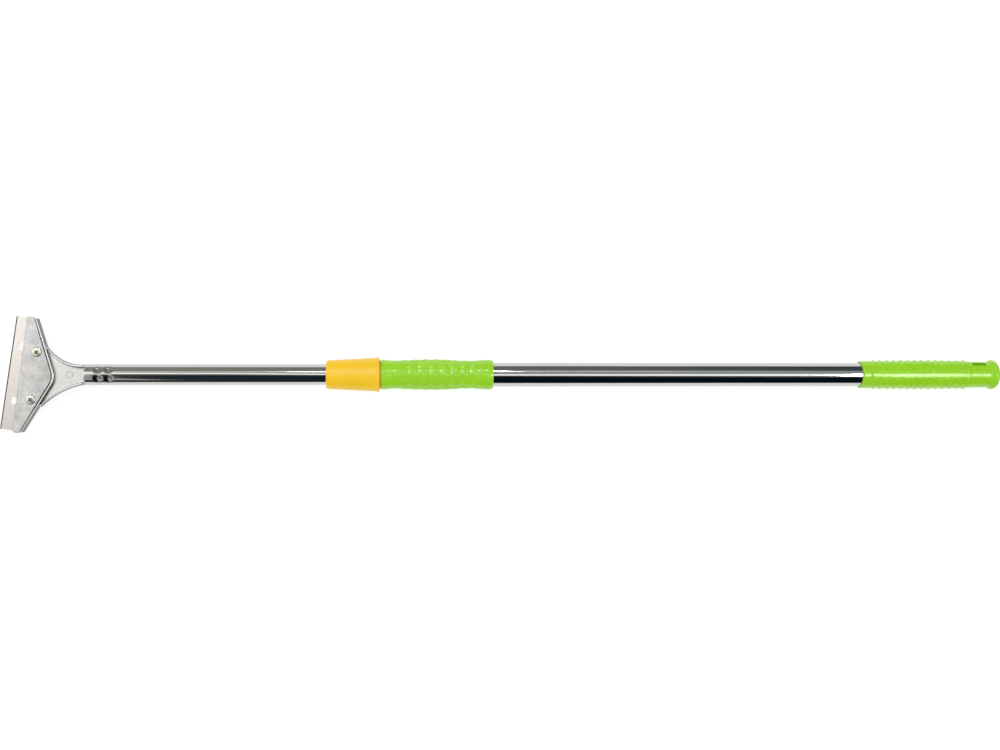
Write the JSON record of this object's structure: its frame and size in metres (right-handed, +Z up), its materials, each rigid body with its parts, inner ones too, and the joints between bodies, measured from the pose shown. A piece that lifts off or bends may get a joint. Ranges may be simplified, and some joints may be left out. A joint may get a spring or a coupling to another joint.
{
  "type": "telescopic blade scraper",
  "caption": "Long-handled window and floor scraper: clamped steel blade on a cast head, chromed telescopic pole, twist lock and two green grips.",
  "frame": {"origin": "under the middle of the tool, on the surface it rests on; the pole's axis is straight above the X axis", "axes": "+X along the pole from the blade to the hanging end, +Z up through the screw side of the head, +Y along the blade"},
  "size_m": [0.9204, 0.1044, 0.0317],
  "materials": {
    "cast_metal": "die-cast, lightly tumbled",
    "cast_plate": "sand-textured casting",
    "blade_steel": "ground",
    "screw_steel": "zinc plated",
    "chromed_tube": "bright chrome plate",
    "white_nylon": "moulded",
    "yellow_plastic": "moulded, satin",
    "green_plastic": "moulded, satin"
  },
  "bodies": {
    "handle": {"outer_tube": "chromed_tube", "lock_sleeve": "yellow_plastic", "front_grip": "green_plastic", "rear_grip": "green_plastic", "hanger_cap": "green_plastic"},
    "pole_guide": {"guide_bush": "white_nylon"},
    "pole": {"inner_tube": "chromed_tube", "blade_holder": "cast_metal", "clamp_plate": "cast_plate", "scraper_blade": "blade_steel", "clamp_screw_a": "screw_steel", "clamp_screw_b": "screw_steel"},
    "lock_ring": {"collet_ring": "white_nylon"},
    "nut": {"lock_nut": "yellow_plastic"}
  },
  "joints": [
    {"name": "pole_slide", "type": "slide", "parent": "handle", "child": "pole_guide", "axis": [-1, 0, 0], "range_m": [-0.205, 0.25]},
    {"name": "pole_turn", "type": "hinge", "parent": "pole_guide", "child": "pole", "pos_m": [-0.38449, 0, 0.01585], "axis": [1, 0, 0], "continuous": true},
    {"name": "nut_advance", "type": "slide", "parent": "handle", "child": "lock_ring", "axis": [-1, 0, 0], "range_m": [0, 0.0021]},
    {"name": "nut_twist", "type": "hinge", "parent": "lock_ring", "child": "nut", "pos_m": [-0.14849, 0, 0.01585], "axis": [-1, 0, 0], "range_deg": [0, 300]}
  ],
  "couplings": [
    {"joint": "nut_advance", "follows": "nut_twist", "m_per_rad": 0.00039789}
  ]
}
